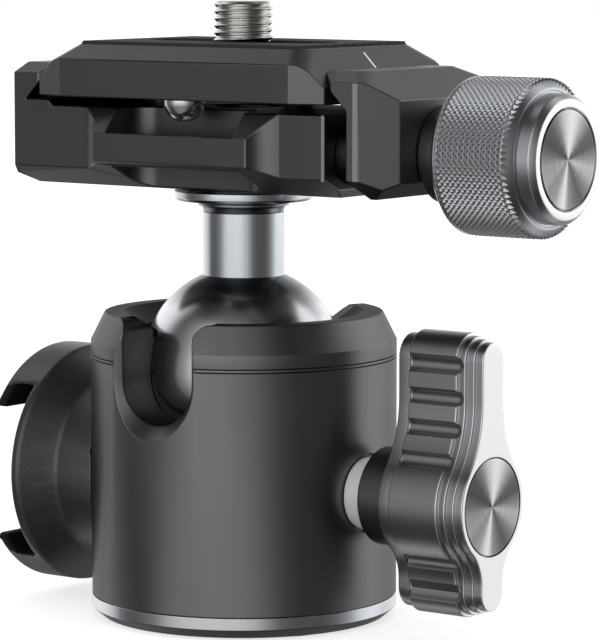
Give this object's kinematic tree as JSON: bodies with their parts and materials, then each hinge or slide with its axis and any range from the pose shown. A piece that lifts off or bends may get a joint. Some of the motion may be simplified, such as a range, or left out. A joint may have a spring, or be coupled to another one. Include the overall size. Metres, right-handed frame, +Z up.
{
  "type": "tripod ball head",
  "caption": "Compact tripod ball head with a housing that has two opposite drop notches, locking lever, side cold shoe and a dovetail quick-release clamp with its camera plate.",
  "frame": {"origin": "on the housing's axis, in the plane of the base, at the mouth of the tripod thread", "axes": "+Z up the housing's axis and out of the camera screw, +X towards the lock lever and the clamp knob, -Y towards the front drop notch"},
  "size_m": [0.067, 0.033, 0.0661],
  "materials": {
    "black_anodised": "black anodised, satin",
    "grey_anodised": "dark grey anodised, fine blasted",
    "gunmetal": "gunmetal anodised, satin with bright edges",
    "ball_alloy": "polished",
    "band_alloy": "turned bright",
    "spun_alloy": "circular brushed",
    "steel": "bright, turned",
    "dark_steel": "black oxide",
    "brass": "turned",
    "black_plastic": "fine grain",
    "white_nylon": "matt",
    "seat_plastic": "smooth",
    "rubber": "fine ribs"
  },
  "bodies": {
    "housing_body": {"housing": "grey_anodised", "seat_ring": "seat_plastic", "base_plate": "band_alloy", "base_bush": "steel", "base_screws": "dark_steel", "cold_shoe": "black_plastic", "shoe_screws": "dark_steel", "lock_bush": "dark_steel", "lock_washer": "white_nylon"},
    "cup_body": {"pressure_cup": "seat_plastic"},
    "wedge_body": {"lock_wedge": "brass"},
    "lever_body": {"lock_screw": "dark_steel", "lock_boss": "black_anodised", "lock_lever": "gunmetal", "lock_cap": "spun_alloy"},
    "ball_body": {"ball_stem": "ball_alloy"},
    "clamp_group": {"clamp_body": "black_anodised", "clamp_bolt": "dark_steel", "clamp_stud": "dark_steel"},
    "jaw_body": {"clamp_jaw": "black_anodised", "jaw_guides": "dark_steel"},
    "knob_body": {"knob_collar": "black_anodised", "clamp_knob": "gunmetal", "knob_insert": "brass", "knob_cap": "spun_alloy"},
    "plate_body": {"qr_plate": "black_anodised", "plate_pad": "rubber", "stop_screws": "steel"},
    "washer_body": {"screw_washer": "white_nylon"},
    "screw_body": {"camera_screw": "steel"}
  },
  "joints": [
    {"name": "ball_tilt", "type": "hinge", "parent": "housing_body", "child": "ball_body", "pos_m": [0, 0, 0.0267], "axis": [1, 0, 0], "range_deg": [-90, 90]},
    {"name": "head_pan", "type": "hinge", "parent": "ball_body", "child": "clamp_group", "pos_m": [0, 0, 0.0462], "axis": [0, 0, 1], "continuous": true},
    {"name": "clamp_knob_turn", "type": "hinge", "parent": "jaw_body", "child": "knob_body", "pos_m": [0.03, 0, 0.0507], "axis": [1, 0, 0], "range_deg": [0, 1440.5]},
    {"name": "jaw_slide", "type": "slide", "parent": "clamp_group", "child": "jaw_body", "axis": [1, 0, 0], "range_m": [0, 0.0032]},
    {"name": "plate_slide", "type": "slide", "parent": "clamp_group", "child": "plate_body", "axis": [0, 1, 0], "range_m": [-0.0007, 0.0007]},
    {"name": "screw_slide", "type": "slide", "parent": "plate_body", "child": "washer_body", "axis": [1, 0, 0], "range_m": [-0.0082, 0.0082]},
    {"name": "screw_turn", "type": "hinge", "parent": "washer_body", "child": "screw_body", "pos_m": [0, 0, 0.058], "axis": [0, 0, 1], "continuous": true},
    {"name": "wedge_slide", "type": "slide", "parent": "housing_body", "child": "wedge_body", "axis": [1, 0, 0], "range_m": [0, 0.0004]},
    {"name": "lock_turn", "type": "hinge", "parent": "wedge_body", "child": "lever_body", "pos_m": [0.02, 0, 0.0145], "axis": [1, 0, 0], "range_deg": [0, 180.5]},
    {"name": "cup_lift", "type": "slide", "parent": "housing_body", "child": "cup_body", "axis": [0, 0, 1], "range_m": [-0.0002, 0]}
  ],
  "couplings": [
    {"joint": "clamp_knob_turn", "follows": "jaw_slide", "rad_per_m": 7854},
    {"joint": "lock_turn", "follows": "wedge_slide", "rad_per_m": 7854},
    {"joint": "cup_lift", "follows": "wedge_slide", "ratio": -0.5}
  ]
}
